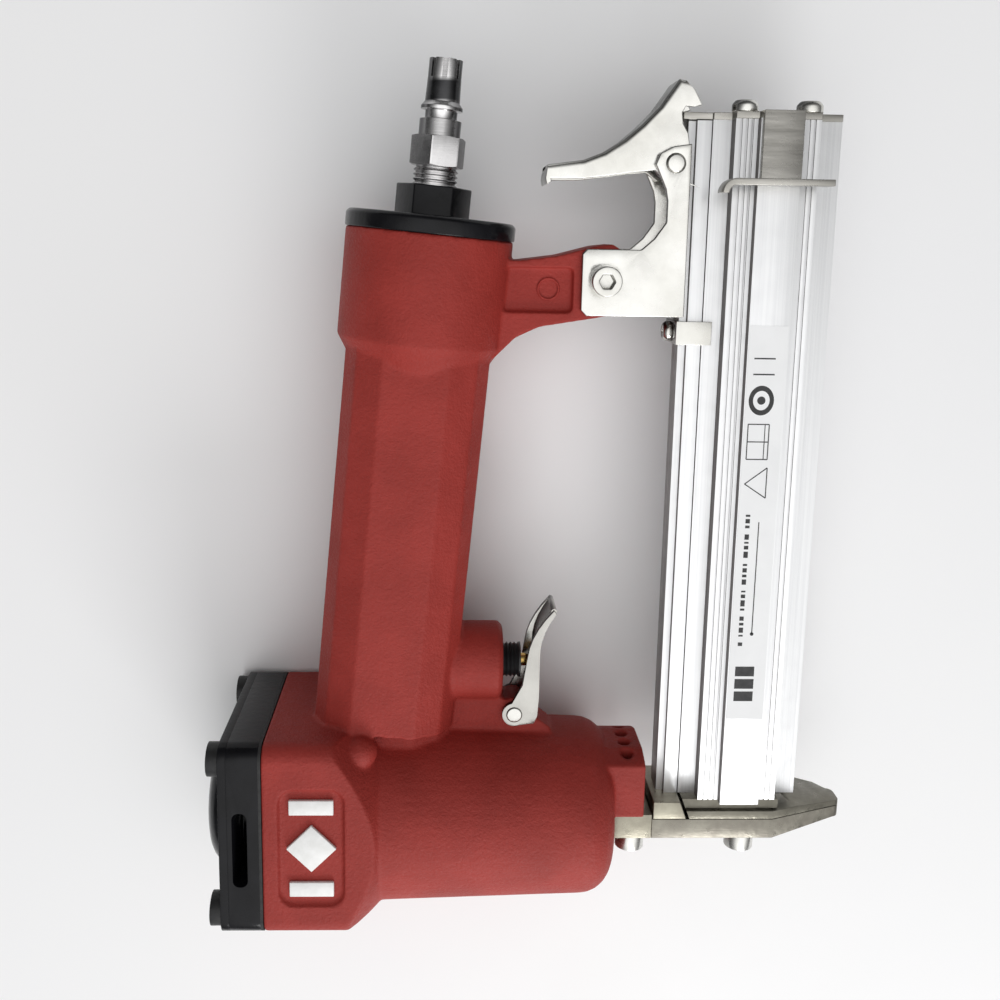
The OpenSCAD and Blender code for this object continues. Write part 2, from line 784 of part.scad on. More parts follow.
module rail_foot() {
  foot_end = rail_x + rail_w;
  color(warm_nickel) tool() linear_extrude(2 * nose_half, center = true)
    polygon([[base_x + gap, seam_y], [foot_end + foot_slant, seam_y],
             [foot_end, mag_low], [base_x + gap, mag_low]]);
}

module rear_guide_plate() {
  low = seam_y + seam_gap;
  color(warm_nickel) tool() difference() {
    union() {
      intersection() {
        nose_plate(slide_x, low, nose_high);
        linear_extrude(head_side, center = true)
          polygon([[slide_x, nose_high], [slide_x, low], [nose_tip_x + over, low],
                   [nose_tip_x + over, nose_high - 1], [nose_taper_x + 8, nose_high]]);
      }
      translate([slide_x, nose_high, -nose_half + 2])
        cube([slide_w - 6, mag_low - nose_high, 2 * nose_half - 4]);
    }
    linear_extrude(head_side, center = true)
      polygon([[slide_x - over, mag_low], [slide_x + foot_gap, mag_low],
               [slide_x + foot_slant + foot_gap, seam_y], [slide_x + foot_slant + foot_gap, low - over],
               [slide_x - over, low - over]]);
    along_y(low - over, mag_low + over) tee_slot_2d();
    translate([nail_x[0], low - over, -nail_half]) cube([nail_x[1] - nail_x[0], 20, 2 * nail_half]);
    for (i = [0, 1]) on_y(port_x[i], low - over, -port_z) cylinder(r = port_r + slack, h = 20);
    for (i = [0, 1]) on_y(port_x[i], low - 0.01, -port_z) cylinder(r1 = 4, r2 = port_r, h = 2.1);
  }
}

module guide_plate_screws() {
  color(nickel) tool() for (i = [0, 1]) on_y(port_x[i], seam_y + 0.5, -port_z) {
    cylinder(r1 = 3.5, r2 = port_r - slack, h = 1.6);
    cylinder(r = port_r - slack, h = 14);
  }
}

module nose_screws() {
  color(nickel) tool() for (i = [0, 1], s = [-1, 1])
    on_y(nose_screw_x[i], nose_low, s * nose_screw_z) socket_screw(4.5, 4.8, 2.5, [18, 3.8][i], 4);
}

// ---------- Magazine ----------

// Puts a shape drawn in X and Z so that it runs along Y between two stations
module along_y(y0, y1) {
  translate([0, y1, 0]) rotate([90, 0, 0]) linear_extrude(y1 - y0) children();
}

module band_2d(x, half) {
  translate([x[0], -half]) square([x[1] - x[0], 2 * half]);
}

module grooves_2d(xs, half) {
  for (x = xs, s = [-1, 1]) translate([x, s * half]) square([0.45, 0.9], center = true);
}

// The slot in the sliding parts that rides on the rail's tee
module tee_slot_2d() {
  band_2d([slide_x - over, tee_neck[1]], tee_neck_half + gap);
  band_2d([tee_head[0] - gap, tee_head[1] + gap], tee_head_half + gap);
}

module magazine_rail() {
  strip = [rail_x, rail_x + rail_w];
  color(alloy) tool() difference() {
    along_y(mag_low, mag_high - gap) {
      band_2d(strip, wing_half);
      band_2d([back_x, rail_x + over], back_half);
      band_2d(tee_neck, tee_neck_half);
      band_2d(tee_head, tee_head_half);
    }
    on_x(back_x - over, clip_y) cylinder(r = 1.6, h = 6.5);
  }
}

module slide_profile() {
  difference() {
    union() {
      band_2d([slide_x, slide_end_x], wing_half);
      band_2d(rib_1, rib_half);
      band_2d(rib_2, rib_half);
      band_2d(band, band_half);
    }
    tee_slot_2d();
    band_2d(nail_x, nail_half);
    band_2d(chamber_x, chamber_half);
    for (x = port_x, s = [-1, 1]) translate([x, s * port_z]) circle(port_r);
    grooves_2d([134, 135.6, 137.2, 153.2, 154.8], rib_half);
  }
}

module magazine_slide() {
  color(alloy) tool() along_y(mag_low, mag_high) slide_profile();
}

module magazine_label() {
  label_x = 138.9;
  label_w = 11.2;
  label_y = 32;
  label_len = 120;
  label_t = 0.12;
  color(white) tool() translate([label_x, label_y, band_half]) cube([label_w, label_len, label_t]);
}

module end_plate() {
  tab_low = 192.8;
  tab = [138.9, 150.3];
  lip = [131.4, 158.4];
  lip_t = 1.8;
  lip_bend = 4;
  lip_top = 20;
  tongue_x = 118.6;
  tongue_half = 5.4;
  color(nickel) tool() difference() {
    union() {
      along_y(mag_high, end_high) {
        band_2d([tongue_x, slide_x + over], tongue_half);
        band_2d([slide_x, slide_end_x], wing_half + 0.4);
        band_2d([rib_1[0], rib_2[1]], rib_half + 0.4);
        translate([tab[0], 0]) square([tab[1] - tab[0], band_half + 1.9]);
      }
      translate([tab[0], tab_low, band_half + 0.1]) cube([tab[1] - tab[0], end_high - tab_low, 1.8]);
      translate([lip[0], tab_low - lip_t, band_half + 0.1])
        cube([lip[1] - lip[0], lip_t, lip_top - band_half - 0.1]);
      translate([lip[0], tab_low - lip_bend, band_half + 0.1]) intersection() {
        tube(lip_bend, lip_bend - lip_t, lip_top - band_half - 0.1);
        translate([-lip_bend, 0, 0]) cube([lip_bend + 0.01, lip_bend, lip_top]);
      }
    }
    for (x = port_x) on_y(x, mag_high - over, port_z) cylinder(r = port_r + slack, h = end_t + 2 * over);
  }
}

module end_plate_screws() {
  color(nickel) tool() for (x = port_x)
    translate([x, end_high, port_z]) rotate([90, 0, 0]) pan_screw(3.7, 3.2, port_r - slack, 16);
}

module pusher() {
  low = mag_low + 1.5;
  color(nickel) tool() difference() {
    union() {
      translate([chamber_x[0] + gap, low, -chamber_half + gap])
        cube([chamber_x[1] - chamber_x[0] - 2 * gap, 20, 2 * (chamber_half - gap)]);
      translate([nail_x[0] + gap, low, -nail_half + 0.2])
        cube([nail_x[1] - nail_x[0] - 2 * gap, 20, 2 * nail_half - 0.4]);
    }
    on_y(rod_x, low - over, rod_z) cylinder(r = 1.6, h = 22);
  }
}

module pusher_rod() {
  color(nickel) tool() on_y(rod_x, mag_low + 1, rod_z) cylinder(r = 1.5, h = mag_len - 1.2);
}

module pusher_spring() {
  spring_y = mag_low + 21.8;
  color(nickel) tool() on_y(rod_x, spring_y, rod_z) coil(2.6, 0.4, 22, mag_high - spring_y - 0.3);
}

// ---------- Latch ----------

module latch_bracket() {
  right = 120.4;
  outline = [[90.6, 155.4], [92.2, 153.8], [right, 153.8], [right, 202.4], [115.4, 201.6],
             [111.6, 199.6], [110.4, 196.6], [111.4, 194.6], [113.6, 189.8], [114.2, 186.6],
             [114.2, 180.6], [111, 176], [107.4, 172.8], [92, 172.8], [90.6, 171.4]];
  color(nickel) tool() difference() {
    union() {
      for (s = [0, 1]) mirror([0, 0, s]) translate([0, 0, bracket_half])
        linear_extrude(bracket_t) polygon(outline);
      translate([right - bracket_t, 153.8, -bracket_half - 0.2])
        cube([bracket_t, 34, 2 * bracket_half + 0.4]);
    }
    translate([latch_x, latch_y, -head_half]) cylinder(r = latch_pin_r + run, h = head_side);
    translate([bracket_screw_x, bracket_screw_y, -head_half]) cylinder(r = 2.5 + slack, h = head_side);
  }
}

module latch_lever() {
  upper = [[79.6, 192.4], [80.2, 196.2], [90.3, 197.6], [96.2, 199.9], [101.7, 203.4], [106.6, 207.6],
           [111.4, 212.6], [116.6, 220.2]];
  hook = [[118.2, 219.8], [121, 217.2], [123.2, 213.2], [121.2, 212.6], [118.6, 212.8], [117.6, 211],
          [118, 208], [119.6, 205.4], [120.2, 202], [119.8, 198], [118.6, 193.6], [114, 192.6]];
  lower = [[110.6, 195.1], [105.7, 194.6], [97.6, 193.4], [90.4, 192.5], [81.4, 192.4]];
  web_in = [for (i = [len(upper) - 1:-1:1]) upper[i] - [-0.5, 1.7]];
  outer_half = bracket_half - gap;
  color(nickel) tool() difference() {
    union() {
      for (s = [0, 1]) mirror([0, 0, s]) translate([0, 0, outer_half - 1.6])
        linear_extrude(1.6) polygon(concat(upper, hook, lower));
      translate([0, 0, -outer_half]) linear_extrude(2 * outer_half)
        polygon(concat(upper, web_in, [[81.4, 191.4], [80, 190.6]]));
    }
    translate([latch_x, latch_y, -head_half]) cylinder(r = latch_pin_r + run, h = head_side);
  }
}

module latch_pin() {
  half = bracket_half + bracket_t + 0.5;
  color(nickel) tool() translate([latch_x, latch_y, -half]) cylinder(r = latch_pin_r, h = 2 * half);
}

module latch_spring() {
  color(nickel) tool() translate([latch_x, latch_y, -4.5]) coil(3.4, 0.5, 6, 9);
}

module bracket_screw() {
  washer_t = 1.3;
  color(nickel) tool() translate([bracket_screw_x, bracket_screw_y, bracket_half + bracket_t + washer_t])
    mirror([0, 0, 1]) socket_screw(4.25, 5, 2.5, 2 * (bracket_half + bracket_t) + washer_t + 4.6, 4);
}

module spring_washer() {
  color(nickel) tool() translate([bracket_screw_x, bracket_screw_y, bracket_half + bracket_t]) difference() {
    tube(4.5, 2.6, 1.3);
    rotate([0, 0, 40]) translate([2, -0.3, -over]) cube([4, 0.6, 4]);
  }
}

module bracket_nut() {
  nut_h = 4;
  nut_hex = 8;
  nut_z = -bracket_half - bracket_t - nut_h;
  color(nickel) tool() translate([bracket_screw_x, bracket_screw_y, nut_z]) difference() {
    cylinder(d = nut_hex / cos(30), h = nut_h, $fn = 6);
    translate([0, 0, -over]) cylinder(r = 2.5 + slack, h = nut_h + 2 * over);
  }
}

module guide_clip() {
  low = clip_y - clip_half;
  leaf_z = wing_half + gap;
  color(nickel) tool() difference() {
    union() {
      translate([clip_x, low, -leaf_z - clip_t])
        cube([back_x - clip_x, 2 * clip_half, 2 * (leaf_z + clip_t)]);
      for (s = [0, 1]) mirror([0, 0, s]) translate([clip_x, low, leaf_z])
        cube([10.4, 2 * clip_half, clip_t]);
    }
    on_x(clip_x - over, clip_y) cylinder(r = 1.6, h = 4);
  }
}

module clip_screw() {
  color(nickel) tool() on_x(clip_x, clip_y) pan_screw(3, 2.6, 1.5, 5.5);
}

body_casting();
side_badge();
cylinder_cap();
exhaust_cover();
cap_gasket();
cap_screws();
cylinder_sleeve();
sleeve_seals();
bumper();
piston();
piston_ring();
driver_blade();
head_valve();
head_valve_seal();
head_valve_spring();
inlet_cap();
inlet_oring();
air_plug();
trigger();
trigger_pin();
valve_case();
valve_stem();
valve_orings();
valve_spring();
nose_base();
front_guide_plate();
rail_foot();
rear_guide_plate();
guide_plate_screws();
nose_screws();
magazine_rail();
magazine_slide();
magazine_label();
end_plate();
end_plate_screws();
pusher();
pusher_rod();
pusher_spring();
latch_bracket();
latch_lever();
latch_pin();
latch_spring();
bracket_screw();
spring_washer();
bracket_nut();
guide_clip();
clip_screw();
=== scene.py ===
"""Looks of the pneumatic brad nailer: finishes, cast and pressed edges, label, floor, light and camera."""
import json
import math

import bmesh
import bpy
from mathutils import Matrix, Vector


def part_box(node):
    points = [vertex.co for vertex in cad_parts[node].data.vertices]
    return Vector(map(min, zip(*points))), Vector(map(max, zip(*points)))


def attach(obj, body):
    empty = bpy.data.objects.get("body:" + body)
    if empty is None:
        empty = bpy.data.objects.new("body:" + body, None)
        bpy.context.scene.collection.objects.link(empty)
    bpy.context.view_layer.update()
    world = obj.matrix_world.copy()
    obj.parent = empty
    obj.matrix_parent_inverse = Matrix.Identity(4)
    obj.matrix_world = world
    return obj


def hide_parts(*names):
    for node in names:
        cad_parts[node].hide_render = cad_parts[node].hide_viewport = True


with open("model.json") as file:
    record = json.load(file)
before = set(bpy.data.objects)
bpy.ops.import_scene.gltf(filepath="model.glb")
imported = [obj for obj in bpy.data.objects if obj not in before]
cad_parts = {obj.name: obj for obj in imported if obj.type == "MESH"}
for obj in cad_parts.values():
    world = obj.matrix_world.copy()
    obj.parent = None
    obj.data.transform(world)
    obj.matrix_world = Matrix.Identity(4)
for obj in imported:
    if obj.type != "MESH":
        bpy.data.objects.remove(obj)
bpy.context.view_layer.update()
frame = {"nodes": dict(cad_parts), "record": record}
NODES = frame["nodes"]
MM = 0.001
SHARP = math.radians(28)
FLAT = math.radians(0.5)
INK_T = 0.05
INK_LINE = 0.3

BODY_OF = {node: body
           for body, nodes in frame["record"]["behaviour"]["bodies"].items()
           for node in nodes}
SLOT_OF = {part["node"]: part["material_slot"] for part in frame["record"]["subparts"]}


# ---------- Camera ----------

def add_camera():
    """The camera stands above the tool's rear half and looks almost straight down."""
    low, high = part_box("cylinder_cap")
    middle = (low + high) / 2
    cap_joint = Vector((high.x + 0.8 * MM, middle.y, middle.z))
    data = bpy.data.cameras.new("camera")
    data.sensor_width = 36
    data.lens = 38.98
    data.shift_x = 0.02
    data.shift_y = -0.07
    data.clip_start = 0.01
    camera = bpy.data.objects.new("camera", data)
    camera.location = cap_joint + Vector((51.6, 176.4, 320.9)) * MM
    camera.rotation_euler = [math.radians(a) for a in (-10.28, -1.79, 0.99)]
    bpy.context.collection.objects.link(camera)
    bpy.context.scene.camera = camera


# ---------- Finishes ----------

class Finish:
    """A node material under construction: most helpers add a node or two and return an output."""

    def __init__(self, name):
        self.material = bpy.data.materials.new(name)
        self.material.use_nodes = True
        self.tree = self.material.node_tree
        self.shader = self.tree.nodes["Principled BSDF"]
        self.place = self.tree.nodes.new("ShaderNodeTexCoord").outputs["Object"]

    def join(self, source, target):
        self.tree.links.new(source, target)

    def set(self, **values):
        for name, value in values.items():
            self.shader.inputs[name.replace("_", " ").title().replace("Ior", "IOR")].default_value = value

    def stretched(self, scale):
        mapping = self.tree.nodes.new("ShaderNodeMapping")
        mapping.inputs["Scale"].default_value = scale
        self.join(self.place, mapping.inputs["Vector"])
        return mapping.outputs["Vector"]

    def noise(self, scale, detail=4, rough=0.55, place=None):
        node = self.tree.nodes.new("ShaderNodeTexNoise")
        node.inputs["Scale"].default_value = scale
        node.inputs["Detail"].default_value = detail
        node.inputs["Roughness"].default_value = rough
        self.join(place or self.place, node.inputs["Vector"])
        return node.outputs["Fac"]

    def ramp(self, source, stops):
        node = self.tree.nodes.new("ShaderNodeValToRGB")
        ramp = node.color_ramp
        for index, (at, colour) in enumerate(stops):
            stop = ramp.elements[index] if index < 2 else ramp.elements.new(at)
            stop.position = at
            stop.color = (*colour, 1)
        self.join(source, node.inputs["Fac"])
        return node.outputs["Color"]

    def limited(self, source, start, end, low=0, high=1):
        """The source's stretch from start to end, as low to high."""
        node = self.tree.nodes.new("ShaderNodeMapRange")
        for name, value in zip(("From Min", "From Max", "To Min", "To Max"), (start, end, low, high)):
            node.inputs[name].default_value = value
        self.join(source, node.inputs["Value"])
        return node.outputs["Result"]

    def spread(self, source, low, high):
        """A noise's usual range, as low to high."""
        return self.limited(source, 0.3, 0.7, low, high)

    def mix(self, factor, first, second):
        node = self.tree.nodes.new("ShaderNodeMix")
        node.data_type = "RGBA"
        self.join(factor, node.inputs["Factor"])
        self.join(first, node.inputs["A"])
        self.join(second, node.inputs["B"])
        return node.outputs["Result"]

    def shaded_side(self, lit, shaded, direction):
        """The lit colour, turning to the shaded one on faces that look along a direction."""
        normal = self.tree.nodes.new("ShaderNodeTexCoord").outputs["Normal"]
        along = self.tree.nodes.new("ShaderNodeVectorMath")
        along.operation = "DOT_PRODUCT"
        along.inputs[1].default_value = direction
        self.join(normal, along.inputs[0])
        return self.mix(self.limited(along.outputs["Value"], 0.2, 0.9), lit, shaded)

    def height(self):
        """Place along the Y axis, in metres."""
        parts = self.tree.nodes.new("ShaderNodeSeparateXYZ")
        self.join(self.place, parts.inputs[0])
        return parts.outputs["Y"]

    def relief(self, *layers):
        """Bump from one or more (height output, depth in metres) layers."""
        normal = None
        for height, depth in layers:
            bump = self.tree.nodes.new("ShaderNodeBump")
            bump.inputs["Distance"].default_value = depth
            self.join(height, bump.inputs["Height"])
            if normal:
                self.join(normal, bump.inputs["Normal"])
            normal = bump.outputs["Normal"]
        self.join(normal, self.shader.inputs["Normal"])

    def colour(self, output):
        self.join(output, self.shader.inputs["Base Color"])

    def roughness(self, output):
        self.join(output, self.shader.inputs["Roughness"])


def red_casting():
    f = Finish("red_casting_paint")
    mottle = f.noise(60, 3)
    f.colour(f.ramp(mottle, [(0.35, (0.28, 0.026, 0.019)), (0.65, (0.33, 0.033, 0.025))]))
    grain = f.noise(1500, 3, 0.6)
    f.roughness(f.spread(grain, 0.5, 0.68))
    f.relief((f.noise(800, 4, 0.65), 0.00026), (grain, 0.00014))
    f.set(specular_ior_level=0.28)
    return f.material


def black_paint():
    f = Finish("black_gloss_paint")
    f.colour(f.ramp(f.noise(90), [(0.35, (0.004, 0.004, 0.005)), (0.65, (0.008, 0.008, 0.010))]))
    f.roughness(f.spread(f.noise(250), 0.14, 0.26))
    f.relief((f.noise(500, 3), 0.00005))
    f.set(specular_ior_level=0.2)
    return f.material


def black_oxide():
    f = Finish("black_oxide_steel")
    f.colour(f.ramp(f.noise(400), [(0.35, (0.010, 0.010, 0.011)), (0.65, (0.020, 0.020, 0.020))]))
    f.roughness(f.spread(f.noise(700), 0.4, 0.55))
    f.relief((f.noise(1200, 3), 0.00004))
    f.set(metallic=0.2)
    return f.material


def black_rubber():
    f = Finish("black_rubber")
    f.colour(f.ramp(f.noise(300), [(0.35, (0.012, 0.012, 0.012)), (0.65, (0.022, 0.022, 0.022))]))
    f.roughness(f.spread(f.noise(900), 0.6, 0.8))
    f.relief((f.noise(1500, 3), 0.00005))
    return f.material


def black_polymer():
    f = Finish("black_acetal")
    f.colour(f.ramp(f.noise(300), [(0.35, (0.010, 0.010, 0.011)), (0.65, (0.020, 0.020, 0.021))]))
    f.roughness(f.spread(f.noise(600), 0.28, 0.44))
    f.relief((f.noise(900, 3), 0.00004))
    return f.material


def bright_nickel(name="bright_nickel_plate", low=(0.62, 0.61, 0.57), high=(0.77, 0.765, 0.735)):
    """Mirror plating, with painted shade and dark reflection on faces towards the tool's head and its
    inlet.
    """
    f = Finish(name)
    bright = f.ramp(f.noise(55, 5), [(0.3, low), (0.7, high)])
    # painted shade and dark reflection: a dark copy of the plating, used on faces that look towards the
    # head and the inlet
    dark = f.ramp(f.noise(90, 4), [(0.3, (0.03, 0.03, 0.028)), (0.7, (0.10, 0.10, 0.095))])
    f.colour(f.shaded_side(bright, dark, (-0.75, 0.66, 0)))
    f.roughness(f.spread(f.noise(160, 6), 0.16, 0.32))
    f.relief((f.noise(110, 2), 0.00009), (f.noise(1800, 3), 0.000012))
    f.set(metallic=1.0)
    return f.material


def painted_shade_nickel():
    """Plating with painted shade, darker in bands across the sheet."""
    f = Finish("nickel_plate_painted_shade")
    bands = f.noise(1.0, 3, place=f.stretched((40, 260, 40)))
    f.colour(f.ramp(bands, [(0.3, (0.30, 0.29, 0.265)), (0.7, (0.50, 0.485, 0.45))]))
    f.roughness(f.spread(f.noise(200, 5), 0.2, 0.38))
    f.relief((bands, 0.00012), (f.noise(1600, 3), 0.000015))
    f.set(metallic=1.0)
    return f.material


def plug_nickel():
    """Turned plating, with painted dark reflection at its sides and on the neck between the rim and the
    notched end.
    """
    f = Finish("turned_nickel")
    bright = f.ramp(f.noise(120, 4), [(0.3, (0.62, 0.61, 0.61)), (0.7, (0.82, 0.81, 0.81))])
    # painted dark reflection, laid on the faces towards +X and -X and on the neck
    dark = f.ramp(f.noise(150, 3), [(0.3, (0.03, 0.03, 0.032)), (0.7, (0.07, 0.07, 0.072))])
    sides = f.shaded_side(f.shaded_side(bright, dark, (1, 0, 0)), dark, (-1, 0, 0))
    # the neck's band of painted dark reflection, between these heights along Y in metres
    neck_start, neck_end, change = 0.1150, 0.1210, 0.0012
    neck = f.mix(f.limited(f.height(), neck_start, neck_start + change), sides, dark)
    f.colour(f.mix(f.limited(f.height(), neck_end, neck_end + change), neck, sides))
    f.roughness(f.spread(f.noise(300, 4), 0.16, 0.3))
    f.relief((f.noise(1.0, 2, place=f.stretched((150, 5000, 150))), 0.00002))
    f.set(metallic=1.0)
    return f.material


def nose_nickel(name="cast_nickel_steel", low=(0.26, 0.24, 0.195), high=(0.38, 0.36, 0.29)):
    f = Finish(name)
    f.colour(f.ramp(f.noise(140, 6, 0.65), [(0.3, low), (0.7, high)]))
    f.roughness(f.spread(f.noise(350, 5), 0.24, 0.46))
    lines = f.noise(1.0, 2, place=f.stretched((200, 2500, 200)))
    f.relief((f.noise(450, 5, 0.65), 0.00010), (lines, 0.00003))
    f.set(metallic=1.0)
    return f.material


def magazine_alloy():
    f = Finish("extruded_alloy")
    streaks = f.noise(1.0, 4, place=f.stretched((1600, 12, 1600)))
    bright = f.ramp(streaks, [(0.3, (0.80, 0.805, 0.815)), (0.7, (0.90, 0.905, 0.91))])
    # painted shade and dark reflection on the faces that look towards the tool's head (-X)
    painted_dark_side = f.ramp(streaks, [(0.3, (0.16, 0.15, 0.15)), (0.7, (0.24, 0.23, 0.225))])
    f.colour(f.shaded_side(bright, painted_dark_side, (-1, 0, 0)))
    f.roughness(f.spread(f.noise(220, 4), 0.3, 0.42))
    f.relief((streaks, 0.00003), (f.noise(1400, 3), 0.000015))
    f.set(metallic=0.6)
    return f.material


def plain_metal(name, low, high, rough):
    f = Finish(name)
    f.colour(f.ramp(f.noise(200, 4), [(0.3, low), (0.7, high)]))
    f.roughness(f.spread(f.noise(500, 4), rough, rough + 0.15))
    f.relief((f.noise(900, 3), 0.00003))
    f.set(metallic=1.0)
    return f.material


def label_film():
    f = Finish("label_film")
    f.colour(f.ramp(f.noise(80), [(0.35, (0.84, 0.845, 0.85)), (0.65, (0.88, 0.885, 0.89))]))
    f.roughness(f.spread(f.noise(300), 0.3, 0.42))
    f.relief((f.noise(120, 2), 0.00003))
    return f.material


def badge_white():
    f = Finish("badge_white")
    f.colour(f.ramp(f.noise(300), [(0.35, (0.80, 0.80, 0.785)), (0.65, (0.88, 0.88, 0.87))]))
    f.roughness(f.spread(f.noise(700), 0.4, 0.55))
    f.relief((f.noise(1200, 3), 0.00004))
    return f.material


def label_ink():
    f = Finish("label_ink")
    f.colour(f.ramp(f.noise(500), [(0.35, (0.012, 0.012, 0.013)), (0.65, (0.03, 0.03, 0.031))]))
    f.roughness(f.spread(f.noise(700), 0.35, 0.5))
    return f.material


def make_finishes():
    return {
        "red_casting": red_casting(),
        "white_badge": badge_white(),
        "black_cap": black_paint(),
        "black_rubber": black_rubber(),
        "black_screw": black_oxide(),
        "sleeve_alloy": plain_metal("hard_anodised_alloy", (0.5, 0.51, 0.52), (0.62, 0.63, 0.64), 0.28),
        "spring_steel": plain_metal("spring_wire", (0.36, 0.36, 0.36), (0.5, 0.5, 0.5), 0.22),
        "hard_steel": plain_metal("ground_steel", (0.34, 0.34, 0.35), (0.46, 0.46, 0.47), 0.25),
        "black_polymer": black_polymer(),
        "plug_nickel": plug_nickel(),
        "bright_nickel": bright_nickel(),
        "nose_nickel": nose_nickel(),
        "stem_brass": plain_metal("turned_brass", (0.55, 0.36, 0.11), (0.72, 0.5, 0.2), 0.2),
        "magazine_alloy": magazine_alloy(),
        "label_film": label_film(),
    }


# ---------- Pieces ----------

def only(obj):
    bpy.ops.object.select_all(action="DESELECT")
    obj.select_set(True)
    bpy.context.view_layer.objects.active = obj


def apply_modifier(obj, kind, **settings):
    only(obj)
    modifier = obj.modifiers.new(kind.lower(), kind)
    for name, value in settings.items():
        setattr(modifier, name, value)
    bpy.ops.object.modifier_apply(modifier=modifier.name)


def merged_copy(node, name):
    """A copy of a CAD node's mesh with the corners of its triangles merged."""
    mesh = NODES[node].data.copy()
    mesh.name = name
    obj = bpy.data.objects.new(name, mesh)
    bpy.context.collection.objects.link(obj)
    shape = bmesh.new()
    shape.from_mesh(mesh)
    bmesh.ops.remove_doubles(shape, verts=shape.verts, dist=0.002 * MM)
    shape.to_mesh(mesh)
    shape.free()
    return obj


def smooth(obj, angle=35):
    only(obj)
    bpy.ops.object.shade_smooth_by_angle(angle=math.radians(angle))


def stands_for(obj, node, finish):
    obj.data.materials.clear()
    obj.data.materials.append(finish)
    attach(obj, BODY_OF[node])
    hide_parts(node)


def edged(node, width, finish):
    """The CAD shape with its sharp edges rounded, as plating, stamping or machining leaves them."""
    obj = merged_copy(node, node + "_finished")
    apply_modifier(obj, "DECIMATE", decimate_type="DISSOLVE", angle_limit=FLAT)
    apply_modifier(obj, "BEVEL", width=width * MM, segments=2, limit_method="ANGLE",
                   angle_limit=SHARP, use_clamp_overlap=True, miter_outer="MITER_ARC")
    apply_modifier(obj, "TRIANGULATE")
    smooth(obj)
    stands_for(obj, node, finish)


def cast_body(finish):
    """The casting's outside with the soft fillets of a sand blasted and painted casting."""
    obj = merged_copy("body_casting", "cast_body")
    voxel, rounds, kept = ((0.55, 5, 0.22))
    apply_modifier(obj, "REMESH", mode="VOXEL", voxel_size=voxel * MM)
    apply_modifier(obj, "SMOOTH", factor=0.5, iterations=rounds)
    apply_modifier(obj, "DECIMATE", ratio=kept)
    smooth(obj, 60)
    stands_for(obj, "body_casting", finish)


def pressed_lever(finish):
    """The lever folded from one sheet: wide round bends beside its web, small ones on its other edges."""
    obj = merged_copy("latch_lever", "latch_lever_finished")
    apply_modifier(obj, "DECIMATE", decimate_type="DISSOLVE", angle_limit=FLAT)
    faces_z = [corner.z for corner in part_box("latch_lever")]
    shape = bmesh.new()
    shape.from_mesh(obj.data)
    weight = shape.edges.layers.float.new("bevel_weight_edge")
    for edge in shape.edges:
        if len(edge.link_faces) != 2 or edge.calc_face_angle() < SHARP:
            continue
        normals = [face.normal for face in edge.link_faces]
        side = max(abs(normal.z) for normal in normals)
        back = max(normal.y - 0.6 * normal.x for normal in normals)
        outside = all(min(abs(vert.co.z - z) for z in faces_z) < 0.1 * MM for vert in edge.verts)
        edge[weight] = 1.0 if outside and side > 0.9 and back > 0.75 else 0.2
    shape.to_mesh(obj.data)
    shape.free()
    apply_modifier(obj, "BEVEL", width=1.5 * MM, segments=5, limit_method="WEIGHT",
                   use_clamp_overlap=False)
    apply_modifier(obj, "TRIANGULATE")
    smooth(obj)
    stands_for(obj, "latch_lever", finish)


def arm_mark(finish):
    """The caster's round mark on the floor of the arm's recess."""
    low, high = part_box("bracket_screw")
    screw = (low + high) / 2
    plate_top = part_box("latch_bracket")[1].z
    bpy.ops.object.select_all(action="DESELECT")
    bpy.ops.mesh.primitive_torus_add(
        location=(screw.x - 15.7 * MM, screw.y - 2.7 * MM, plate_top - 3.6 * MM),
        major_radius=3 * MM, minor_radius=0.4 * MM, major_segments=48, minor_segments=8)
    mark = bpy.context.object
    mark.name = "arm_mark"
    bpy.ops.object.transform_apply(location=True, rotation=True, scale=True)
    bpy.ops.object.shade_smooth()
    mark.data.materials.append(finish)
    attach(mark, BODY_OF["body_casting"])


def ink_bar(x0, y0, x1, y1, turn=0):
    """A flat bar of ink, from corner to corner in millimetres from the label's lower left corner."""
    middle = ((x0 + x1) / 2 * MM, (y0 + y1) / 2 * MM, INK_T / 2 * MM)
    bpy.ops.mesh.primitive_cube_add(size=1, location=middle, rotation=(0, 0, math.radians(turn)))
    bar = bpy.context.object
    bar.scale = ((x1 - x0) * MM, (y1 - y0) * MM, INK_T * MM)
    return bar


def ink_stroke(x0, y0, x1, y1, width=INK_LINE):
    """A straight stroke of ink between two points."""
    length = math.hypot(x1 - x0, y1 - y0)
    x, y = (x0 + x1) / 2, (y0 + y1) / 2
    turn = math.degrees(math.atan2(y1 - y0, x1 - x0))
    return ink_bar(x - length / 2, y - width / 2, x + length / 2, y + width / 2, turn)


def ink_frame(x0, y0, x1, y1):
    """The outline of a rectangle."""
    return [ink_stroke(x0, y0, x1, y0), ink_stroke(x0, y1, x1, y1),
            ink_stroke(x0, y0, x0, y1), ink_stroke(x1, y0, x1, y1)]


def ink_disc(x, y, radius):
    bpy.ops.mesh.primitive_cylinder_add(vertices=32, radius=radius * MM, depth=INK_T * MM,
                                        location=(x * MM, y * MM, INK_T / 2 * MM))
    return bpy.context.object


def ink_ring(x, y, radius, cord):
    """A flat ring, a little narrower across the label."""
    bpy.ops.mesh.primitive_torus_add(location=(x * MM, y * MM, INK_T / 2 * MM), major_radius=radius * MM,
                                     minor_radius=cord * MM, major_segments=48, minor_segments=8)
    ring = bpy.context.object
    ring.scale = (0.85, 1, INK_T / (2 * cord))
    return ring


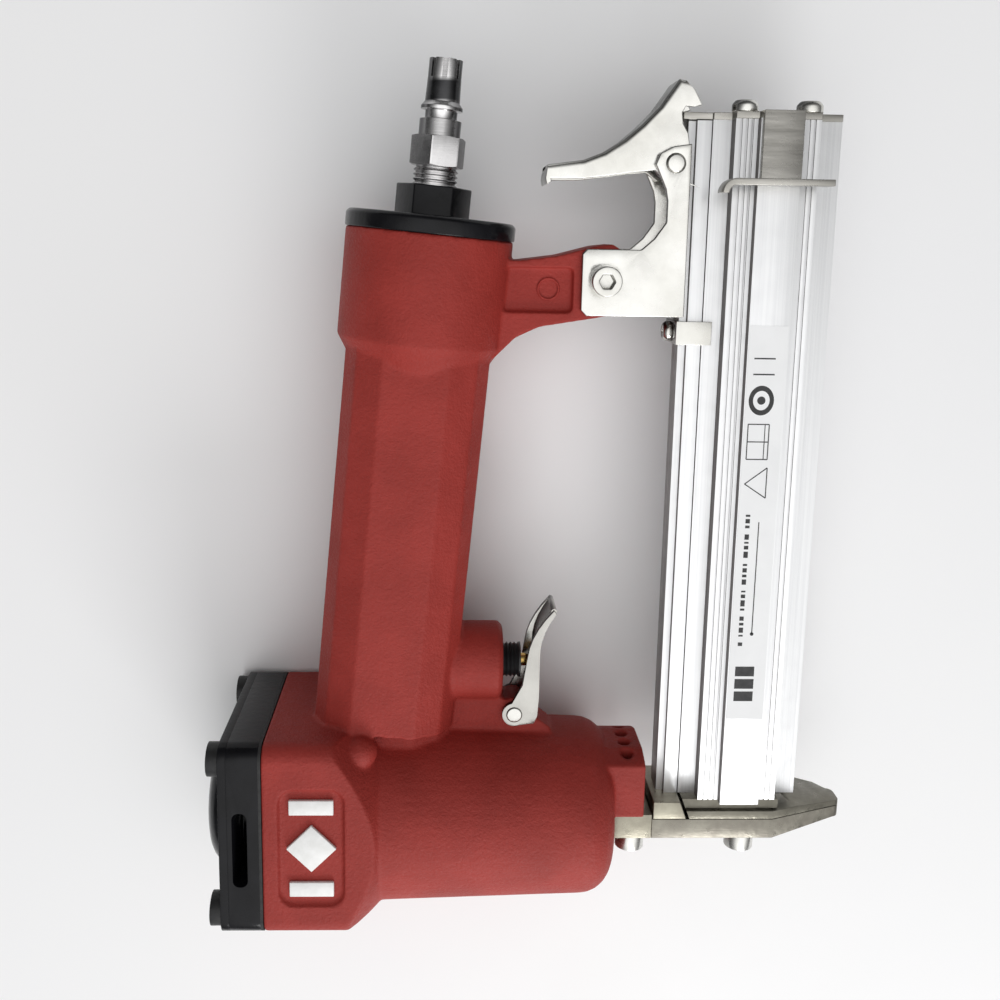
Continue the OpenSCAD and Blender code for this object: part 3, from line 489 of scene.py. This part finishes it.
def label_print():
    """Plain marks in the places of the label's print: blocks, a gauge line, ticks, a frame and a ring."""
    low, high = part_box("magazine_label")
    marks = [ink_bar(1.9, 5.8 + 4 * i, 7.7, 8.9 + 4 * i) for i in range(3)]
    marks += [ink_stroke(6.2, 27.3, 6.2, 62.1), ink_disc(6.2, 27.3, 0.55)]
    tick, lengths = 23.5, (1.1, 0.5, 1.6, 0.8, 1.3, 0.6, 1.9)
    for i in range(20):
        height = lengths[i % len(lengths)]
        marks.append(ink_bar(2.2, tick, 3.5, tick + height))
        tick += height + (0.7 if i % 4 else 1.9)
    marks += [ink_stroke(1.2, 73.6, 7.6, 69.4), ink_stroke(1.2, 73.6, 7.6, 78.5),
              ink_stroke(7.6, 69.4, 7.6, 78.5)]
    marks += ink_frame(1.2, 81, 7.4, 91.4)
    marks += [ink_stroke(1.2, 86.2, 7.4, 86.2), ink_stroke(6.2, 81, 6.2, 91.4, 0.25)]
    marks += [ink_ring(4.6, 98.4, 3.6, 0.75), ink_disc(4.6, 98.4, 1.2)]
    marks += [ink_stroke(1.8, 106, 8, 106, 0.4), ink_stroke(1.8, 110.6, 8, 110.6, 0.4)]
    bpy.ops.object.select_all(action="DESELECT")
    for mark in marks:
        mark.select_set(True)
    bpy.context.view_layer.objects.active = marks[0]
    bpy.ops.object.join()
    ink = bpy.context.object
    ink.name = "label_print"
    ink.location += Vector((low.x, low.y, high.z))
    bpy.ops.object.transform_apply(location=True, rotation=True, scale=True)
    ink.data.materials.clear()
    ink.data.materials.append(label_ink())
    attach(ink, BODY_OF["magazine_label"])


# ---------- Floor, light, size ----------

def add_floor():
    bpy.ops.object.select_all(action="DESELECT")
    bpy.ops.mesh.primitive_plane_add(size=6, location=(0, 0, 0))
    floor = bpy.context.object
    floor.name = "floor"
    f = Finish("pale_floor")
    f.colour(f.ramp(f.noise(3), [(0.3, (0.86, 0.86, 0.87)), (0.7, (0.88, 0.88, 0.88))]))
    f.roughness(f.spread(f.noise(20), 0.6, 0.7))
    floor.data.materials.append(f.material)


def area_light(name, place, aim, size, power):
    data = bpy.data.lights.new(name, "AREA")
    data.shape = "RECTANGLE"
    data.size, data.size_y = size
    data.energy = power
    lamp = bpy.data.objects.new(name, data)
    lamp.location = place
    lamp.rotation_euler = (Vector(aim) - Vector(place)).to_track_quat("-Z", "Y").to_euler()
    bpy.context.collection.objects.link(lamp)


def add_light():
    """A studio that is bright overhead, a little towards the tool's head, and dark round the horizon."""
    world = bpy.data.worlds.new("studio")
    bpy.context.scene.world = world
    world.use_nodes = True
    nodes, links = world.node_tree.nodes, world.node_tree.links
    sky = nodes.new("ShaderNodeTexCoord").outputs["Generated"]
    along = nodes.new("ShaderNodeVectorMath")
    along.operation = "DOT_PRODUCT"
    along.inputs[1].default_value = Vector((0.05, -0.3, 0.95)).normalized()
    links.new(sky, along.inputs[0])
    ramp = nodes.new("ShaderNodeValToRGB")
    levels = [(0.0, 0.08), (1.0, 0.95), (0.25, 0.09), (0.6, 0.3), (0.88, 0.92)]
    for index, (at, level) in enumerate(levels):
        stop = ramp.color_ramp.elements[index] if index < 2 else ramp.color_ramp.elements.new(at)
        stop.position = at
        stop.color = (level, level, level, 1)
    links.new(along.outputs["Value"], ramp.inputs["Fac"])
    background = nodes["Background"]
    links.new(ramp.outputs["Color"], background.inputs["Color"])
    background.inputs["Strength"].default_value = 1.5
    area_light("key", (0.25, -0.95, 0.5), (0, 0, 0.02), (0.5, 0.4), 5)


add_camera()
FINISHES = make_finishes()
FINISH_OF = {node: FINISHES[slot] for node, slot in SLOT_OF.items()}
# the end plate: plating darkened as painted shade
FINISH_OF["end_plate"] = painted_shade_nickel()
# the trigger: the bright plating in darker tones
FINISH_OF["trigger"] = bright_nickel("darker_nickel_plate", (0.40, 0.39, 0.365), (0.52, 0.51, 0.48))
# The guide plates get darker copies of the nose plating as painted shade, the rear plate darkest.
FINISH_OF["front_guide_plate"] = nose_nickel(
    "nose_nickel_painted_shade", (0.19, 0.175, 0.15), (0.28, 0.265, 0.225))
FINISH_OF["rear_guide_plate"] = nose_nickel(
    "nose_nickel_painted_deep_shade", (0.15, 0.14, 0.115), (0.22, 0.21, 0.175))
for node_name, node_object in NODES.items():
    node_object.data.materials.clear()
    node_object.data.materials.append(FINISH_OF[node_name])

# Width of each finished edge, in millimetres
EDGES = {
    "cylinder_cap": 0.5, "exhaust_cover": 0.5, "cap_screws": 0.4, "inlet_cap": 0.4, "air_plug": 0.2,
    "trigger": 0.5, "trigger_pin": 0.4, "latch_bracket": 0.4, "latch_pin": 0.5,
    "bracket_screw": 0.3, "bracket_nut": 0.3, "nose_base": 0.4, "front_guide_plate": 0.4,
    "rail_foot": 0.3, "rear_guide_plate": 0.3, "nose_screws": 0.8, "magazine_rail": 0.15,
    "magazine_slide": 0.15, "end_plate": 0.4, "end_plate_screws": 0.3, "guide_clip": 0.3,
    "clip_screw": 0.2, "side_badge": 0.25,
}
cast_body(FINISH_OF["body_casting"])
arm_mark(FINISH_OF["body_casting"])
for node_name, width in EDGES.items():
    edged(node_name, width, FINISH_OF[node_name])
pressed_lever(FINISH_OF["latch_lever"])
label_print()
add_floor()
add_light()
bpy.context.scene.view_settings.view_transform = "Standard"
